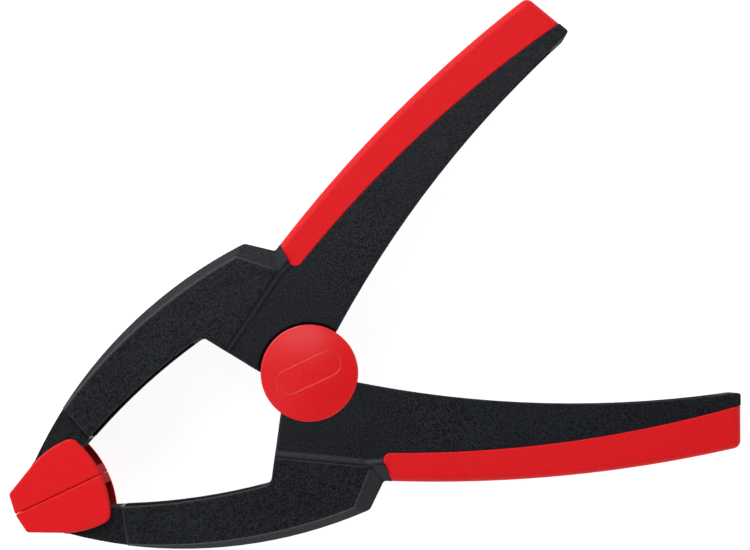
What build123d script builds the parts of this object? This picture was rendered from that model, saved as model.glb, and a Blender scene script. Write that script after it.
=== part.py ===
from build123d import *

# Spring clamp with a 50 mm opening, lying on its side. Two moulded arms cross at a steel pin
# and a torsion spring between them holds the jaws shut. +Z is the pin's direction, +X runs
# from the jaws to the handles, and the jaws meet on the plane Y = 0. The origin is the bottom
# centre of the whole clamp. All sizes are in millimetres.
#
# Outlines are drawn for the upper arm, as (x, y) from the foot of the pin's axis on the plane
# Y = 0, and the lower arm's pieces are their mirror images. Heights named *_half count from
# the clamp's mid-plane, and every piece but the spring is the same above and below it.

import os
from math import atan2, cos, degrees, radians, sin, sqrt, tan

# Overall
tip_reach = 65.2  # pin to the front of the pads
handle_reach = 76.15  # pin to the end of the handles
pivot_rise = 0.4  # pin above the plane that the jaws meet on
jaw_half = 10.8  # raised side faces of the jaws
neck_half = 9.6  # recessed side faces round the pin
handle_end_half = 10.5  # the handles widen to this at their ends
tip_half = 8.4  # jaw tips, between the flanks of the pads
flare_start = 10.0  # where the handles begin to widen

pivot_x = (tip_reach - handle_reach) / 2
mid = Plane((pivot_x, 0, jaw_half))
pivot = (0, pivot_rise)

# Arm outline
shoulder = (-0.65, 29.5)
notch = (4.3, 25.5)
handle_end_outer = (71.75, 49.9)
handle_end_inner = (76.4, 40.0)  # before its corner is rounded
jaw_corner = (-16.4, 16.35)
neck_edge_middle = (-10.3, 7.0)
tip_outer = (-57.3, 8.05)
tip_front = (-59.2, 5.2)
tip_inner = (-57.2, 2.5)
throat_start = (-45.0, 7.8)
neck_foot = (-8.2, 3.77)
handle_foot = (7.4, 5.05)
jaw_outer_middle = (-30.0, 23.87)  # middles of the long arcs
jaw_inner_middle = (-30.0, 13.2)
handle_outer_middle = (40.0, 40.95)
handle_inner_middle = (37.0, 23.75)

# Raised face of the jaw
tip_step, tip_step_direction = (-46.4, 11.4), -74.0  # where the pad's flanks end on the jaw
bevel_arc = ((-48.0, 14.5), (-30.0, 22.4), (-3.6, 27.6))  # inner edge of the outer bevel
bevel_slope = 48.0  # outer bevel, from the pin's direction
facet_point, facet_direction = (-0.3, 24.75), -43.0  # inner edge of the bevel by the notch
facet_slope = 58.0
lip_height, lip_run, lip_round = 0.45, 0.2, 0.6  # the face stands this much above its bevels
step_point, step_direction = (-4.5, 17.25), 30.8  # upper edge of the step down to the neck
step_radius = 1.6  # the step is a hollow curve of this radius
face_round, edge_round = 0.25, 0.5

# Saddle between the jaw's bevel and the near end of the grip
saddle_corner, saddle_direction = (2.95, 21.6), 20.0  # upper edge of its own step
saddle_heights = (8.7, 10.1, 10.05)  # at the notch, at its corner and at the grip
saddle_grip_point = (5.8, 24.5)

# Channels inside the arms: a roof arc, then straight sides
jaw_channel_half = 7.6
jaw_channel_roof = ((-46.0, 12.5), (-29.0, 20.8), (-11.0, 25.4))
jaw_channel_sides = ((-19.5, 15.0), (-19.5, 11.5), (-45.5, 5.5))
handle_channel_half = 6.6
handle_channel_roof = ((13.5, 24.0), (40.0, 35.2), (70.5, 43.9))
handle_channel_sides = ((72.6, 38.0), (72.6, 30.0), (13.5, 5.0))
leg_slot_outline = ((-7.0, 4.0), (-6.5, 9.0), (0.0, 15.0), (13.6, 24.0), (13.6, 5.0), (4.0, 0.0))
rib, rib_setback = 2.0, 3.5  # ribs start this far behind the inner edge
jaw_ribs = (-37.5, -28.5)
handle_ribs = (35.0, 47.0, 59.0)

# Hub
pin_radius, pin_half = 3.0, 9.45
running_gap, press_gap = 0.05, 0.02
outer_ear_radius, outer_ear_inner_half = 9.7, 7.4
inner_ear_radius, inner_ear_half = 9.6, 7.2
spring_space_half, coil_clear_radius = 5.2, 9.0
pocket_radius, pocket_floor_half = 10.15, 7.4  # round the outer ears, in the upper arm
hub_clear_radius = 10.0  # round the inner ears, in the lower arm
seat_radius, seat_floor_half = 6.6, 8.6  # counterbore for a retainer and a cap's collar
pocket_rim = 0.45

# Spring, sleeve, retainers and caps
wire = 2.25
coil_radius = 6.2
leg_angle = 40.0  # of each leg, from the X axis
leg_length = 32.0
coil_turns = 3 + (180 - 2 * leg_angle) / 360
coil_pitch = wire + 0.06
sleeve_radius, sleeve_gap, sleeve_half = 4.7, 0.1, 5.1
retainer_radius, retainer_half, retainer_thickness = 5.2, 8.65, 0.6
retainer_slots, slot_width, slot_reach = 6, 0.8, 4.2
cap_radius, cap_wall, cap_underside_half, cap_apex_half = 9.75, 0.95, 9.63, 10.7
cap_dome_middle, cap_dome_end, cap_rim_half = (5.0, 10.47), (9.3, 9.93), 9.78
collar_outer, collar_inner, collar_foot_half = 6.5, 5.6, 8.75

# Grips
grip_thickness = 2.6
grip_end_thickness = 2.4
grip_proud = 0.3
grip_corner = (5.8, 19.95)  # near end of the edge against the black handle
grip_middle = (40.0, 33.83)
grip_tail = (78.0, 42.75)
grip_corner_round = 1.5
grip_round = 1.4

# Pads
pad_pivot = (-57.0, 4.9)
pad_half = 10.7
flank_inner_half = 8.6
trunnion_radius, trunnion_half, socket_floor_half = 2.0, 9.9, 10.0
tip_clear_radius = 3.3
face_gap = 0.03  # half of the gap between the closed pads
pad_base = 2.0  # plane behind the clamping face
pad_nose, pad_nose_round = (-64.6, 4.25), 1.0
pad_crown_start = (-57.5, 7.7)
pad_crown_middle = (-53.6, 8.87)
pad_heel, pad_heel_round = (-48.4, 9.05), 2.0
pad_back_middle = (-46.9, 4.9)
pad_back_foot = (-46.35, face_gap)
pad_tip, pad_tip_round = (-tip_reach, face_gap), 0.35
pad_floor_start = -58.5
pad_round = 0.4

far = 200.0  # longer than the clamp
os.makedirs("parts", exist_ok=True)


def upright(point, direction, height):
    """A plane across a line of the outline: local X to the line's right, local Y up."""
    turn = radians(direction)
    origin = mid.from_local_coords((*point, height))
    return Plane(origin, x_dir=(sin(turn), -cos(turn), 0), z_dir=(-cos(turn), -sin(turn), 0))


def keep_left_of(point, direction):
    """Keep what lies to the left of a line, in the current sketch."""
    with Locations(Location((*point, 0), (0, 0, direction))):
        Rectangle(far, far, align=(Align.CENTER, Align.MIN), mode=Mode.INTERSECT)


def round_corners(sketch, corners):
    """Round each named corner of the current sketch."""
    for corner, radius in corners:
        fillet(sketch.vertices().sort_by_distance((*corner, 0))[0], radius)


def edge_near(piece, place):
    """The edge of a piece whose middle is nearest to a place in the outline's frame."""
    target = mid.from_local_coords(place)
    return min(piece.edges(), key=lambda edge: (edge.center() - target).length)


def bevel_waste(slope):
    """The section that a bevel removes: a short steep lip, a hollow corner and a slope."""
    foot = (lip_run, -lip_height)
    with BuildSketch() as waste:
        drop = lip_height + far / tan(radians(slope))
        Polygon((0, 0), foot, (lip_run + far, -drop), (lip_run + far, far), (0, far), align=None)
        round_corners(waste, ((foot, lip_round),))
    return waste.sketch


def cut_step(point, direction):
    """Cut the hollow curve of a step down to the neck, right of a line, in the current part."""
    with BuildSketch(upright(point, direction, neck_half)) as waste:
        with Locations((step_run, step_radius)):
            Circle(step_radius)
    extrude(waste.sketch, amount=far, both=True, mode=Mode.SUBTRACT)


def step_foot(point, direction):
    """Where the step along a line meets the neck."""
    turn = radians(direction)
    return point[0] + step_run * sin(turn), point[1] - step_run * cos(turn)


def ribs_behind(arc, places):
    """Ribs across a channel, set back from the inner edge that an arc draws."""
    with BuildSketch() as ribs:
        with Locations(*((x, 0) for x in places)):
            Rectangle(rib, far)
        with Locations(arc.arc_center):
            Circle(arc.radius + rib_setback, mode=Mode.SUBTRACT)
    return ribs.sketch


def trim_flare(extra):
    """Cut a handle's sides to their slight flare, in the current part."""
    with BuildSketch(upright((0, 0), 90, 0)) as waste:
        Polygon(
            (-far, neck_half + extra),
            (flare_start, neck_half + extra),
            (handle_reach, handle_end_half + extra),
            (far, handle_end_half + extra),
            (far, far),
            (-far, far),
            align=None,
        )
    extrude(waste.sketch, amount=far, both=True, mode=Mode.SUBTRACT)


def export(piece, name):
    piece.part.label = name
    export_step(piece.part, f"parts/{name}.step")


# ---------------------------------------------------------------- outlines

with BuildSketch() as arm_area:
    with BuildLine():
        ThreePointArc(tip_outer, tip_front, tip_inner)
        Line(tip_inner, throat_start)
        ThreePointArc(throat_start, jaw_inner_middle, jaw_corner)
        Polyline(jaw_corner, neck_foot, handle_foot)
        ThreePointArc(handle_foot, handle_inner_middle, handle_end_inner)
        Line(handle_end_inner, handle_end_outer)
        ThreePointArc(handle_end_outer, handle_outer_middle, notch)
        Line(notch, shoulder)
        ThreePointArc(shoulder, jaw_outer_middle, tip_outer)
    make_face()
    round_corners(
        arm_area,
        (
            (jaw_corner, 2.0),
            (shoulder, 1.4),
            (handle_end_outer, 1.7),
            (handle_end_inner, 0.6),
            (notch, 0.8),
        ),
    )

with BuildSketch() as grip_area:
    add(arm_area.sketch)
    with BuildLine():
        ThreePointArc(grip_corner, grip_middle, grip_tail)
        Polyline(grip_tail, (grip_tail[0], far), (grip_corner[0], far), grip_corner)
    make_face(mode=Mode.INTERSECT)
    round_corners(grip_area, ((grip_corner, grip_corner_round),))

grip_outer = ThreePointArc(handle_end_outer, handle_outer_middle, notch)
end_run = (Vector(*handle_end_outer) - Vector(*handle_end_inner)).normalized()
end_direction = degrees(atan2(end_run.Y, end_run.X))
end_inset = Vector(*handle_end_inner) + end_run.rotate(Axis.Z, 90) * grip_end_thickness
with BuildSketch() as handle_core:
    with Locations(grip_outer.arc_center):
        Circle(grip_outer.radius - grip_thickness)
    keep_left_of((end_inset.X, end_inset.Y), end_direction)

with BuildSketch() as grip_web:
    add(grip_area.sketch)
    add(handle_core.sketch, mode=Mode.SUBTRACT)

# The jaw's raised face, the saddle and the neck meet where the steps end
step_height = jaw_half - neck_half
step_run = sqrt(2 * step_radius * step_height - step_height**2)
valley = Vector(*notch) - Vector(*saddle_corner)
valley_direction = degrees(atan2(valley.Y, valley.X))

with BuildSketch() as jaw_area:
    add(arm_area.sketch)
    keep_left_of(tip_step, tip_step_direction)
    keep_left_of(step_foot(step_point, step_direction), step_direction)
    keep_left_of(notch, valley_direction)

with BuildSketch() as saddle_area:
    add(arm_area.sketch)
    keep_left_of(step_foot(saddle_corner, saddle_direction), saddle_direction)
    keep_left_of(notch, valley_direction + 180)
    keep_left_of((saddle_grip_point[0] + grip_corner_round, 0), 90)
    add(grip_area.sketch, mode=Mode.SUBTRACT)

with BuildSketch() as neck_area:
    add(arm_area.sketch)
    keep_left_of(jaw_corner, -90)
    for neighbour in (jaw_area, saddle_area, grip_area):
        add(neighbour.sketch, mode=Mode.SUBTRACT)

jaw_inner = ThreePointArc(throat_start, jaw_inner_middle, jaw_corner)
jaw_rib_area = ribs_behind(jaw_inner, jaw_ribs)
with BuildSketch() as jaw_channel:
    with BuildLine():
        roof = ThreePointArc(*jaw_channel_roof)
        Polyline(roof @ 1, *jaw_channel_sides, roof @ 0)
    make_face()
    add(jaw_rib_area, mode=Mode.SUBTRACT)

handle_inner = ThreePointArc(handle_foot, handle_inner_middle, handle_end_inner)
handle_rib_area = ribs_behind(handle_inner, handle_ribs)
with BuildSketch() as handle_channel:
    with BuildLine():
        roof = ThreePointArc(*handle_channel_roof)
        Polyline(roof @ 1, *handle_channel_sides, roof @ 0)
    make_face()
    add(handle_rib_area, mode=Mode.SUBTRACT)

with BuildSketch() as leg_slot:
    Polygon(*leg_slot_outline, align=None)

# ---------------------------------------------------------------- arm blank

bevel_curve = ThreePointArc(*bevel_arc)
bevel_axis = Axis(mid.from_local_coords(bevel_curve.arc_center), (0, 0, 1))
bevel_edge = (bevel_curve.arc_center.X, bevel_curve.arc_center.Y + bevel_curve.radius, jaw_half)
bevel_plane = Plane(mid.from_local_coords(bevel_edge), x_dir=(0, 1, 0), z_dir=(1, 0, 0))
outer_waste, facet_waste = bevel_waste(bevel_slope), bevel_waste(facet_slope)

with BuildPart() as jaw_block:
    with BuildSketch(mid.offset(tip_half)):
        add(jaw_area.sketch)
    extrude(amount=jaw_half - tip_half)
    cut_step(step_point, step_direction)
    with BuildSketch(upright(facet_point, facet_direction + 180, jaw_half)):
        add(facet_waste)
    extrude(amount=far, both=True, mode=Mode.SUBTRACT)
    with BuildSketch(bevel_plane):
        add(outer_waste)
    revolve(axis=bevel_axis, mode=Mode.SUBTRACT)
    # The facet's edge is rounded last, because its corner with the step can't be done in one
    facet_middle = mid.from_local_coords((*facet_point, jaw_half))
    face_edges = jaw_block.faces().sort_by(Axis.Z)[-1].edges()
    fillet(face_edges.sort_by_distance(facet_middle)[1:], face_round)
    fillet(jaw_block.edges().sort_by_distance(facet_middle)[0], face_round)

saddle_points = [
    mid.from_local_coords((*point, height))
    for point, height in zip((notch, saddle_corner, saddle_grip_point), saddle_heights)
]
saddle_normal = (saddle_points[1] - saddle_points[0]).cross(saddle_points[2] - saddle_points[0])
with BuildPart() as saddle_block:
    with BuildSketch(mid.offset(tip_half)):
        add(saddle_area.sketch)
    extrude(amount=jaw_half - tip_half)
    cut_step(saddle_corner, saddle_direction)
    split(bisect_by=Plane(saddle_points[0], z_dir=saddle_normal), keep=Keep.BOTTOM)

with BuildPart() as neck_block:
    with BuildSketch(mid.offset(tip_half)):
        add(neck_area.sketch)
    extrude(amount=handle_end_half - tip_half)
    trim_flare(0)
    fillet(edge_near(neck_block, (*neck_edge_middle, neck_half)), edge_round)
    fillet(edge_near(neck_block, (*handle_inner_middle, handle_end_half)), edge_round)

with BuildPart() as arm_half:
    with BuildSketch(mid):
        add(arm_area.sketch)
        add(grip_web.sketch, mode=Mode.SUBTRACT)
    extrude(amount=tip_half)
    for block in (neck_block, saddle_block, jaw_block):
        add(block.part)
    with BuildSketch(mid):
        with Locations(pad_pivot):
            Circle(trunnion_radius)
    extrude(amount=trunnion_half)
    for channel, channel_half in (
        (jaw_channel, jaw_channel_half),
        (handle_channel, handle_channel_half),
        (leg_slot, spring_space_half),
    ):
        with BuildSketch(mid):
            add(channel.sketch)
        extrude(amount=channel_half, mode=Mode.SUBTRACT)

with BuildPart() as arm_blank:
    add(arm_half.part)
    mirror(arm_half.part, about=mid)

# ---------------------------------------------------------------- arms


def rings(radius, low, high, mode=Mode.ADD):
    """A disc round the pin, from one height to another, above the mid-plane and below it."""
    for side in (1, -1):
        with BuildSketch(mid.offset(side * low)) as disc:
            with Locations(pivot):
                Circle(radius)
        extrude(disc.sketch, amount=side * (high - low), mode=mode)


with BuildPart() as upper_arm:
    add(arm_blank.part)
    rings(pocket_radius, pocket_floor_half, jaw_half, Mode.SUBTRACT)
    rings(coil_clear_radius, 0, spring_space_half, Mode.SUBTRACT)
    rings(inner_ear_radius, spring_space_half, inner_ear_half)
    rings(pin_radius + running_gap, 0, inner_ear_half, Mode.SUBTRACT)
    for side in (1, -1):
        fillet(edge_near(upper_arm, (0, pivot_rise + pocket_radius, side * neck_half)), pocket_rim)
export(upper_arm, "upper_arm")

with BuildPart() as lower_arm:
    mirror(arm_blank.part, about=Plane.XZ)
    rings(hub_clear_radius, 0, outer_ear_inner_half, Mode.SUBTRACT)
    rings(outer_ear_radius, outer_ear_inner_half, neck_half)
    rings(pin_radius + press_gap, 0, neck_half, Mode.SUBTRACT)
    rings(seat_radius, seat_floor_half, neck_half, Mode.SUBTRACT)
export(lower_arm, "lower_arm")

# ---------------------------------------------------------------- grips

with BuildPart() as grip_half:
    with BuildSketch(mid):
        add(grip_web.sketch)
    extrude(amount=tip_half)
    with BuildSketch(mid.offset(tip_half)):
        add(grip_area.sketch)
    extrude(amount=jaw_half - tip_half)
    trim_flare(grip_proud)
    fillet(edge_near(grip_half, (*handle_outer_middle, handle_end_half)), grip_round)
    fillet(edge_near(grip_half, (*grip_middle, handle_end_half)), face_round)

with BuildPart() as upper_grip:
    add(grip_half.part)
    mirror(grip_half.part, about=mid)
export(upper_grip, "upper_grip")

with BuildPart() as lower_grip:
    mirror(upper_grip.part, about=Plane.XZ)
export(lower_grip, "lower_grip")

# ---------------------------------------------------------------- pads

with BuildSketch() as pad_area:
    with BuildLine():
        Polyline(pad_back_foot, pad_tip, pad_nose, pad_crown_start)
        ThreePointArc(pad_crown_start, pad_crown_middle, pad_heel)
        ThreePointArc(pad_heel, pad_back_middle, pad_back_foot)
    make_face()
    round_corners(
        pad_area,
        ((pad_nose, pad_nose_round), (pad_heel, pad_heel_round), (pad_tip, pad_tip_round)),
    )

with BuildSketch() as pad_block:
    add(pad_area.sketch)
    with Locations(pad_pivot):
        Circle(tip_clear_radius, mode=Mode.SUBTRACT)
    with Locations((pad_floor_start, pad_base)):
        Rectangle(far, far, align=(Align.MIN, Align.MIN), mode=Mode.SUBTRACT)

with BuildPart() as half_pad:
    with BuildSketch(mid):
        add(pad_block.sketch)
    extrude(amount=flank_inner_half)
    with BuildSketch(mid.offset(flank_inner_half)):
        add(pad_area.sketch)
    extrude(amount=pad_half - flank_inner_half)
    with BuildSketch(mid.offset(flank_inner_half)):
        with Locations(pad_pivot):
            Circle(trunnion_radius + running_gap)
    extrude(amount=socket_floor_half - flank_inner_half, mode=Mode.SUBTRACT)
    pad_face = half_pad.faces().sort_by(Axis.Z)[-1]
    fillet(pad_face.edges().sort_by(Axis.Y)[1:], pad_round)

with BuildPart() as upper_pad:
    add(half_pad.part)
    mirror(half_pad.part, about=mid)
export(upper_pad, "upper_pad")

with BuildPart() as lower_pad:
    mirror(upper_pad.part, about=Plane.XZ)
export(lower_pad, "lower_pad")

# ---------------------------------------------------------------- pin, sleeve, retainers, caps

hub_plane = Plane(mid.from_local_coords((*pivot, 0)))
hub_section = Plane(hub_plane.origin, x_dir=(1, 0, 0), z_dir=(0, -1, 0))

with BuildPart() as pivot_pin:
    with BuildSketch(hub_plane):
        Circle(pin_radius)
    extrude(amount=pin_half, both=True)
    chamfer(pivot_pin.edges().filter_by(GeomType.CIRCLE), 0.5)
export(pivot_pin, "pivot_pin")

with BuildPart() as spring_sleeve:
    with BuildSketch(hub_plane):
        Circle(sleeve_radius)
        Circle(pin_radius + sleeve_gap, mode=Mode.SUBTRACT)
    extrude(amount=sleeve_half, both=True)
export(spring_sleeve, "spring_sleeve")

for side, where in ((1, "top"), (-1, "bottom")):
    with BuildPart() as retainer:
        with BuildSketch(hub_plane.offset(side * retainer_half)):
            Circle(retainer_radius)
            Circle(pin_radius + press_gap, mode=Mode.SUBTRACT)
            with PolarLocations(0, retainer_slots):
                Rectangle(slot_reach, slot_width, align=(Align.MIN, Align.CENTER), mode=Mode.SUBTRACT)
        extrude(amount=side * retainer_thickness)
    export(retainer, f"{where}_retainer")

    with BuildPart() as cap:
        with BuildSketch(hub_section):
            with BuildLine():
                dome = ThreePointArc((0, cap_apex_half), cap_dome_middle, cap_dome_end)
                Polyline(
                    dome @ 1,
                    (cap_radius, cap_rim_half),
                    (cap_radius, cap_underside_half),
                    (collar_outer, cap_underside_half),
                    (collar_outer, collar_foot_half),
                    (collar_inner, collar_foot_half),
                    (collar_inner, cap_apex_half - cap_wall),
                    (0, cap_apex_half - cap_wall),
                    (0, cap_apex_half),
                )
            make_face()
        revolve(axis=Axis(hub_plane.origin, (0, 0, 1)))
        if side < 0:
            mirror(about=mid, mode=Mode.REPLACE)
    export(cap, f"{where}_cap")

# ---------------------------------------------------------------- torsion spring


def coil_end(direction, height):
    """A plane across the pin at a height, with its X axis towards one end of the coil."""
    turn = radians(direction)
    return Plane(hub_plane.offset(height).origin, x_dir=(cos(turn), sin(turn), 0), z_dir=(0, 0, 1))


coil_height = coil_turns * coil_pitch
coil_start = coil_end(270 - leg_angle, -coil_height / 2)
coil_finish = coil_end(90 + leg_angle, coil_height / 2)
with BuildPart() as torsion_spring:
    with BuildLine(coil_start):
        coil = Helix(coil_pitch, coil_height, coil_radius, lefthand=True)
    with BuildSketch(coil ^ 0):
        Circle(wire / 2)
    sweep(path=coil, is_frenet=True)
    for plane, way in ((coil_start, 1), (coil_finish, -1)):
        bend = plane.from_local_coords((coil_radius, 0, 0))
        with BuildSketch(Plane(bend, x_dir=(0, 0, 1), z_dir=plane.y_dir * way)):
            Circle(wire / 2)
        extrude(amount=leg_length)
export(torsion_spring, "torsion_spring")
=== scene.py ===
import math

import bpy
from mathutils import Matrix, Vector


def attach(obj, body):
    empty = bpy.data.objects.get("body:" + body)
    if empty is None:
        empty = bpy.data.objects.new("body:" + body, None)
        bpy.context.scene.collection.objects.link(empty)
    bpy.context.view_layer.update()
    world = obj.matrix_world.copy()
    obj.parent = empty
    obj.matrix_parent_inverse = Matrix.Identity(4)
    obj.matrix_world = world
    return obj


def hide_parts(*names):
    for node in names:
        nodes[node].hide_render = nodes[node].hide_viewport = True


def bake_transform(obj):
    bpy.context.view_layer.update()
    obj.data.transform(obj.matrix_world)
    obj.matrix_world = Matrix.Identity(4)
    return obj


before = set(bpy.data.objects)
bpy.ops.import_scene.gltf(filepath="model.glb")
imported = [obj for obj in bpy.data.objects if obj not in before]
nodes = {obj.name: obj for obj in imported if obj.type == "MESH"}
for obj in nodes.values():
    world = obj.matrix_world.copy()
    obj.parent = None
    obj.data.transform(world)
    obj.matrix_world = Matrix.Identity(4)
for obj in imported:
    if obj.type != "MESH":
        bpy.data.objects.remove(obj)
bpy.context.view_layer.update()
scene = bpy.context.scene

MM = 0.001
PIN = Vector((-5.475, 0.4, 10.8)) * MM  # middle of the pivot pin


# ---------------------------------------------------------------- materials


UPRIGHT_LIMIT = 0.3  # Z of the normal, below which a wall counts as upright
DRIFT, DRIFT_SHARE = 9 * MM, 0.1  # size and weight of the slow change of colour
TURNING_DEPTH, TURNING_EDGE, STEEL_PATCH = 0.004 * MM, 0.1 * MM, 0.6 * MM


class Nodes:
    """A material's node tree, with short calls for the nodes that the materials below share."""

    def __init__(self, name):
        self.material = bpy.data.materials.new(name)
        self.material.use_nodes = True
        self.tree = self.material.node_tree
        self.shader = self.tree.nodes["Principled BSDF"]
        coordinates = self.tree.nodes.new("ShaderNodeTexCoord").outputs
        self.place, self.facing = coordinates["Object"], coordinates["Normal"]

    def put(self, kind, sockets=(), **settings):
        node = self.tree.nodes.new(kind)
        for key, value in settings.items():
            setattr(node, key, value)
        for key, value in dict(sockets).items():
            if isinstance(value, bpy.types.NodeSocket):
                self.tree.links.new(value, node.inputs[key])
            else:
                node.inputs[key].default_value = value
        return node

    def link(self, output, socket):
        self.tree.links.new(output, self.shader.inputs[socket])

    def noise(self, grain, detail=2.0, roughness=0.5):
        """Soft noise with features of about this size in metres."""
        return self.put(
            "ShaderNodeTexNoise",
            {"Vector": self.place, "Scale": 1 / grain, "Detail": detail, "Roughness": roughness},
        ).outputs["Fac"]

    def spread(self, value, low, high, start=0.3, end=0.7):
        """Maps a noise value to a range of numbers."""
        return self.put(
            "ShaderNodeMapRange",
            {"Value": value, "From Min": start, "From Max": end, "To Min": low, "To Max": high},
        ).outputs["Result"]

    def tint(self, value, dark, light):
        """Mixes two colours by a noise value."""
        mix = self.put("ShaderNodeMix", data_type="RGBA")
        self.tree.links.new(value, mix.inputs["Factor"])
        mix.inputs["A"].default_value = (*dark, 1)
        mix.inputs["B"].default_value = (*light, 1)
        return mix.outputs["Result"]

    def maths(self, operation, *values):
        return self.put("ShaderNodeMath", dict(enumerate(values)), operation=operation).outputs[0]

    def parts(self, vector):
        """The X, Y and Z of a vector."""
        return self.put("ShaderNodeSeparateXYZ", {0: vector}).outputs

    def wall_factor(self, inner_only):
        """1 on upright walls, or only on those that look towards the plane where the jaws meet."""
        facing = self.parts(self.facing)
        upright = self.maths("LESS_THAN", self.maths("ABSOLUTE", facing["Z"]), UPRIGHT_LIMIT)
        if not inner_only:
            return upright
        outwards = self.maths("MULTIPLY", facing["Y"], self.parts(self.place)["Y"])
        return self.maths("MULTIPLY", upright, self.maths("LESS_THAN", outwards, 0.0))

    def bump(self, height, depth, edge):
        """Bump of this depth over normals that round each edge by a small radius."""
        rounded = self.put("ShaderNodeBevel", {"Radius": edge}, samples=6).outputs["Normal"]
        sockets = {"Height": height, "Distance": depth, "Normal": rounded}
        return self.put("ShaderNodeBump", sockets).outputs["Normal"]


def moulded(name, dark, light, rough, grain, depth, edge, specular=0.5, matt_walls=None):
    """Moulded plastic or rubber: spark-eroded grain, a slow drift of colour, rounded edges.

    matt_walls is "all" or "inner" where upright walls are left rough by the mould.
    """
    made = Nodes(name)
    fine = made.noise(grain, detail=3.0, roughness=0.6)
    mottle = made.maths("MULTIPLY_ADD", made.noise(DRIFT), DRIFT_SHARE, fine)
    made.link(made.tint(made.spread(mottle, 0, 1, 0.45, 0.67), dark, light), "Base Color")
    gloss = made.spread(fine, *rough)
    if matt_walls:
        gloss = made.maths("MAXIMUM", gloss, made.wall_factor(matt_walls == "inner"))
    made.link(gloss, "Roughness")
    made.link(made.bump(fine, depth, edge), "Normal")
    made.shader.inputs["Specular IOR Level"].default_value = specular
    return made.material


def steel(name, dark, light, rough, along, scratch):
    """Drawn or turned steel, with streaks of this size stretched by the scale on each axis."""
    made = Nodes(name)
    mapping = made.put("ShaderNodeMapping", {"Vector": made.place, "Scale": along})
    streak = made.put(
        "ShaderNodeTexNoise",
        {"Vector": mapping.outputs["Vector"], "Scale": 1 / scratch, "Detail": 3.0},
    ).outputs["Fac"]
    made.link(made.tint(made.spread(streak, 0, 1), dark, light), "Base Color")
    made.link(made.spread(made.noise(STEEL_PATCH), *rough), "Roughness")
    made.link(made.bump(streak, TURNING_DEPTH, TURNING_EDGE), "Normal")
    made.shader.inputs["Metallic"].default_value = 1.0
    return made.material


arm_black = moulded(
    "arm_black", (0.0008, 0.0013, 0.0022), (0.0145, 0.017, 0.022), (0.28, 0.4),
    grain=0.34 * MM, depth=0.035 * MM, edge=0.35 * MM, specular=0.32, matt_walls="inner",
)
grip_red = moulded(
    "grip_red", (0.71, 0.0075, 0.0105), (0.77, 0.0105, 0.015), (0.42, 0.55),
    grain=0.3 * MM, depth=0.012 * MM, edge=0.2 * MM, specular=0.16,
)
pad_red = moulded(
    "pad_red", (0.73, 0.0075, 0.0105), (0.77, 0.01, 0.0145), (0.38, 0.5),
    grain=0.22 * MM, depth=0.006 * MM, edge=0.08 * MM, specular=0.16, matt_walls="all",
)
cap_red = moulded(
    "cap_red", (0.72, 0.0075, 0.011), (0.77, 0.0105, 0.015), (0.27, 0.33),
    grain=0.35 * MM, depth=0.0015 * MM, edge=0.1 * MM, specular=0.45,
)
acetal = moulded(
    "acetal", (0.72, 0.70, 0.64), (0.80, 0.78, 0.72), (0.4, 0.5),
    grain=0.3 * MM, depth=0.004 * MM, edge=0.15 * MM,
)
wire_steel = steel(
    "wire_steel", (0.30, 0.30, 0.31), (0.52, 0.52, 0.53), (0.28, 0.42),
    along=(1, 1, 1), scratch=0.5 * MM,
)
pin_steel = steel(
    "pin_steel", (0.48, 0.48, 0.49), (0.64, 0.64, 0.64), (0.22, 0.34),
    along=(0.2, 0.2, 4), scratch=0.4 * MM,
)
ring_steel = steel(
    "ring_steel", (0.16, 0.17, 0.20), (0.30, 0.31, 0.34), (0.3, 0.45),
    along=(1, 1, 4), scratch=0.4 * MM,
)

FINISH = {
    "upper_arm": (arm_black, "arm_plastic"),
    "lower_arm": (arm_black, "arm_plastic"),
    "upper_grip": (grip_red, "grip_soft"),
    "lower_grip": (grip_red, "grip_soft"),
    "upper_pad": (pad_red, "pad_plastic"),
    "lower_pad": (pad_red, "pad_plastic"),
    "pivot_pin": (pin_steel, "pin_steel"),
    "spring_sleeve": (acetal, "sleeve_plastic"),
    "top_retainer": (ring_steel, "retainer_steel"),
    "bottom_retainer": (ring_steel, "retainer_steel"),
    "top_cap": (cap_red, "cap_plastic"),
    "bottom_cap": (cap_red, "cap_plastic"),
    "torsion_spring": (wire_steel, "spring_steel"),
}
for name, (material, slot_name) in FINISH.items():
    nodes[name].data.materials.clear()
    nodes[name].data.materials.append(material)


# ---------------------------------------------------------------- pieces


def mesh_piece(name, points, faces, material):
    """A new smooth-shaded piece from points in metres."""
    mesh = bpy.data.meshes.new(name)
    mesh.from_pydata([tuple(p) for p in points], [], faces)
    mesh.validate()
    mesh.materials.append(material)
    mesh.shade_smooth()
    piece = bpy.data.objects.new(name, mesh)
    scene.collection.objects.link(piece)
    return piece


def ring_strip(first, second, count):
    """Quads between two rings of this many points, given the index of each ring's first point."""
    return [
        (first + i, first + (i + 1) % count, second + (i + 1) % count, second + i)
        for i in range(count)
    ]


def tube(path, radius, sides=16, closed=False):
    """Points and faces of a round tube along a path of points."""
    points, faces = [], []
    count = len(path)
    normal = None
    for i, p in enumerate(path):
        before = path[i - 1] if i or closed else path[i]
        after = path[(i + 1) % count] if i < count - 1 or closed else path[i]
        along = (after - before).normalized()
        if normal is None:
            normal = along.cross(Vector((0, 0, 1)))
        normal = (normal - along * normal.dot(along)).normalized()
        side = along.cross(normal)
        for j in range(sides):
            turn = math.tau * j / sides
            points.append(p + (normal * math.cos(turn) + side * math.sin(turn)) * radius)
    for i in range(count if closed else count - 1):
        faces += ring_strip(i * sides, (i + 1) % count * sides, sides)
    return points, faces


END_CHAMFER = 0.25  # of the radius


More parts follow.
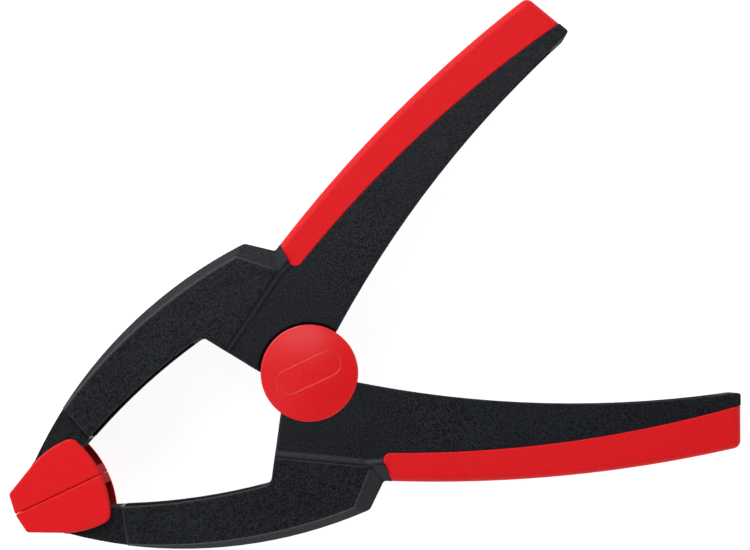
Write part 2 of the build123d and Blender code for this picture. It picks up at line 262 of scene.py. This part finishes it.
def chamfered_tube(path, radius, sides=20):
    """A tube whose two ends are chamfered and closed."""
    lip = radius * END_CHAMFER
    first = (path[1] - path[0]).normalized()
    last = (path[-1] - path[-2]).normalized()
    path = [path[0]] + [path[0] + first * lip] + path[1:-1] + [path[-1] - last * lip] + [path[-1]]
    points, faces = tube(path, radius, sides)
    for start, centre in ((0, path[0]), (len(points) - sides, path[-1])):
        for k in range(start, start + sides):
            points[k] = centre + (points[k] - centre) * (1 - END_CHAMFER)
    faces.append(tuple(range(sides - 1, -1, -1)))
    faces.append(tuple(range(len(points) - sides, len(points))))
    return points, faces


# Spring: two straight legs that leave the coil along its tangents, as one smooth tube
WIRE = 2.25 * MM
COIL = 6.2 * MM
LEG_ANGLE = 40  # degrees, of each leg from the X axis
TURNS = 3 + (180 - 2 * LEG_ANGLE) / 360
PITCH = 2.31 * MM
LEG, LEG_STEPS = 32 * MM, 12
START_TURN = math.radians(270 - LEG_ANGLE)
STEPS_PER_TURN = 60

steps = round(TURNS * STEPS_PER_TURN)
coil = []
for i in range(steps + 1):
    part = i / steps
    turn = START_TURN - part * TURNS * math.tau
    height = (part - 0.5) * TURNS * PITCH
    coil.append(PIN + Vector((math.cos(turn) * COIL, math.sin(turn) * COIL, height)))


def leg(coil_point, toward):
    """Points along a leg, from the coil outwards."""
    return [coil_point + toward * (LEG * k / LEG_STEPS) for k in range(1, LEG_STEPS + 1)]


lower_turn = math.radians(360 - LEG_ANGLE)
lower_way = Vector((math.cos(lower_turn), math.sin(lower_turn), 0))
upper_way = Vector((lower_way.x, -lower_way.y, 0))
wire_path = leg(coil[0], lower_way)[::-1] + coil + leg(coil[-1], upper_way)
points, faces = chamfered_tube(wire_path, WIRE / 2)
spring = mesh_piece("spring_wire", points, faces, wire_steel)
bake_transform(spring)
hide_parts("torsion_spring")


# Caps: a low dome with a rounded rim, a snap collar underneath and a plain raised outline on top
CAP_RADIUS, RIM_UNDER = 9.75 * MM, 9.63 * MM
APEX, DOME_END, DOME_DROP = 10.7 * MM, 9.25 * MM, 0.78 * MM
COLLAR_OUT, COLLAR_IN, COLLAR_FOOT = 6.5 * MM, 5.6 * MM, 8.75 * MM
CAP_CEILING = 9.75 * MM
RIM_CHAMFER, COLLAR_OUTER_CHAMFER, COLLAR_INNER_CHAMFER = 0.06 * MM, 0.15 * MM, 0.12 * MM
CAP_SIDES, DOME_STEPS, RIM_STEPS = 128, 14, 7


def dome(r):
    """Height of the cap's top at this distance from its middle."""
    return APEX - DOME_DROP * (r / DOME_END) ** 2


def cap_profile():
    """(radius, height) pairs from the middle of the top round to the middle of the ceiling."""
    radii = [DOME_END * k / DOME_STEPS for k in range(1, DOME_STEPS + 1)]
    top = [(r, dome(r)) for r in radii]
    edge_height, rim_foot = top[-1][1], RIM_UNDER + RIM_CHAMFER
    rim = []
    for k in range(1, RIM_STEPS + 1):
        turn = math.pi / 2 * k / RIM_STEPS
        rim.append((
            DOME_END + (CAP_RADIUS - DOME_END) * math.sin(turn),
            rim_foot + (edge_height - rim_foot) * math.cos(turn),
        ))
    under = [
        (CAP_RADIUS - RIM_CHAMFER, RIM_UNDER),
        (COLLAR_OUT + COLLAR_OUTER_CHAMFER, RIM_UNDER),
        (COLLAR_OUT, RIM_UNDER - COLLAR_OUTER_CHAMFER),
        (COLLAR_OUT, COLLAR_FOOT + COLLAR_OUTER_CHAMFER),
        (COLLAR_OUT - COLLAR_INNER_CHAMFER, COLLAR_FOOT),
        (COLLAR_IN + COLLAR_INNER_CHAMFER, COLLAR_FOOT),
        (COLLAR_IN, COLLAR_FOOT + COLLAR_INNER_CHAMFER),
        (COLLAR_IN, CAP_CEILING),
    ]
    return top + rim + under


def cap_shape():
    """Points and faces of a cap round the pin's axis, with heights from the mid-plane."""
    points = [Vector((0, 0, APEX))]
    faces = []
    for r, h in cap_profile():
        for j in range(CAP_SIDES):
            turn = math.tau * j / CAP_SIDES
            points.append(Vector((r * math.cos(turn), r * math.sin(turn), h)))
    rings = (len(points) - 1) // CAP_SIDES
    faces += [(0, 1 + j, 1 + (j + 1) % CAP_SIDES) for j in range(CAP_SIDES)]
    for k in range(rings - 1):
        strip = ring_strip(1 + k * CAP_SIDES, 1 + (k + 1) * CAP_SIDES, CAP_SIDES)
        faces += [f[::-1] for f in strip]
    centre = len(points)
    points.append(Vector((0, 0, CAP_CEILING)))
    last = 1 + (rings - 1) * CAP_SIDES
    faces += [(centre, last + (j + 1) % CAP_SIDES, last + j) for j in range(CAP_SIDES)]
    return points, faces


BEAD_LENGTH, BEAD_WIDTH, BEAD, BEAD_SUNK = 13.6 * MM, 5.0 * MM, 0.16 * MM, 0.05 * MM
BEND_STEPS, STRAIGHT_STEPS = 24, 12


def bead_shape():
    """A raised outline with round ends, lying on the dome."""
    half_run, end_radius = (BEAD_LENGTH - BEAD_WIDTH) / 2, BEAD_WIDTH / 2
    path = []
    for side in (1, -1):
        for k in range(BEND_STEPS + 1):
            turn = -math.pi / 2 + math.pi * k / BEND_STEPS
            out = half_run + end_radius * math.cos(turn)
            path.append((side * out, side * end_radius * math.sin(turn)))
        for k in range(1, STRAIGHT_STEPS):
            path.append((side * half_run * (1 - 2 * k / STRAIGHT_STEPS), side * end_radius))
    line = [Vector((x, y, dome(math.hypot(x, y)) - BEAD_SUNK)) for x, y in path]
    return tube(line, BEAD, 12, closed=True)


def join_shapes(*shapes):
    """One list of points and one of faces from several of each."""
    points, faces = [], []
    for more_points, more_faces in shapes:
        faces += [tuple(len(points) + i for i in f) for f in more_faces]
        points += more_points
    return points, faces


for side, node in ((1, "top_cap"), (-1, "bottom_cap")):
    points, faces = join_shapes(cap_shape(), bead_shape())
    points = [PIN + Vector((p.x, p.y, side * p.z)) for p in points]
    if side < 0:
        faces = [f[::-1] for f in faces]
    cap = mesh_piece(node.replace("cap", "cap_dome"), points, faces, cap_red)
    cap.data.set_sharp_from_angle(angle=math.radians(50))
    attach(cap, "lower_lever")
    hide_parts(node)


# ---------------------------------------------------------------- studio


# The floor is a lit panel, so that it stays as pale as the photo's background
FLOOR_GLOW = 0.92
FLOOR_HALF = 3.0


def floor_material():
    made = Nodes("pale_floor")
    for socket, value in (
        ("Base Color", (0.35, 0.35, 0.35, 1)),
        ("Roughness", 0.9),
        ("Specular IOR Level", 0.1),
        ("Emission Color", (1, 1, 1, 1)),
        ("Emission Strength", FLOOR_GLOW),
    ):
        made.shader.inputs[socket].default_value = value
    return made.material


floor_mesh = bpy.data.meshes.new("floor")
corners = [(x * FLOOR_HALF, y * FLOOR_HALF, 0) for x, y in ((-1, -1), (1, -1), (1, 1), (-1, 1))]
floor_mesh.from_pydata(corners, [], [(0, 1, 2, 3)])
floor_mesh.materials.append(floor_material())
floor = bpy.data.objects.new("floor", floor_mesh)
scene.collection.objects.link(floor)

VIEW_ROLL = math.radians(25.33)  # the jaws-to-handles line rises to the right by this
right = Vector((math.cos(VIEW_ROLL), -math.sin(VIEW_ROLL), 0))
up = Vector((math.sin(VIEW_ROLL), math.cos(VIEW_ROLL), 0))
overhead = Vector((0, 0, 1))


def softbox(name, bearing, elevation, distance, size, power):
    """A square light aimed at the clamp, with sizes in metres and its power in watts.

    bearing is in degrees in the picture, anticlockwise from its right, and elevation above it.
    """
    light = bpy.data.lights.new(name, "AREA")
    light.size = size
    light.energy = power
    lamp = bpy.data.objects.new(name, light)
    turn, rise = math.radians(bearing), math.radians(elevation)
    flat = (right * math.cos(turn) + up * math.sin(turn)) * math.cos(rise)
    lamp.location = (flat + overhead * math.sin(rise)) * distance
    lamp.rotation_euler = (-lamp.location).to_track_quat("-Z", "Y").to_euler()
    scene.collection.objects.link(lamp)


softbox("key", 125, 47, 0.5, 0.32, 1.38)
softbox("left", 200, 38, 0.8, 0.4, 0.9)
softbox("fill", 300, 50, 1.0, 0.35, 0.5)
softbox("top", 98, 73, 0.8, 0.16, 0.3)
softbox("low_left", 222, 74, 0.8, 0.1, 0.06)

world = bpy.data.worlds.new("studio")
world.use_nodes = True
sky = world.node_tree
background = sky.nodes["Background"]
background.inputs["Color"].default_value = (0.94, 0.975, 1, 1)
heading = sky.nodes.new("ShaderNodeTexCoord").outputs["Generated"]
split = sky.nodes.new("ShaderNodeSeparateXYZ")
fade = sky.nodes.new("ShaderNodeMapRange")
sky.links.new(heading, split.inputs[0])
sky.links.new(split.outputs["Z"], fade.inputs["Value"])
# Bright up to 30 degrees above the horizon and dark above 60, as in a light tent
for socket, value in (("From Min", 0.5), ("From Max", 0.86), ("To Min", 0.9), ("To Max", 0.02)):
    fade.inputs[socket].default_value = value
sky.links.new(fade.outputs["Result"], background.inputs["Strength"])
scene.world = world
scene.view_settings.view_transform = "Standard"
scene.view_settings.look = "None"

# Camera: almost straight down on the clamp
TOP = 21.6  # millimetres, of the clamp's upper side
CAMERA_ABOVE_TOP = 763
camera_data = bpy.data.cameras.new("camera")
camera_data.sensor_width = 36
camera_data.lens = 183.1
camera = bpy.data.objects.new("camera", camera_data)
target = Vector((14.841, 12.518, TOP)) * MM
camera.location = Vector((7.14, -3.75, TOP + CAMERA_ABOVE_TOP)) * MM
back = (camera.location - target).normalized()
camera_up = (up - back * up.dot(back)).normalized()
camera_right = camera_up.cross(back)
camera.rotation_euler = Matrix((camera_right, camera_up, back)).transposed().to_euler()
scene.collection.objects.link(camera)
scene.camera = camera
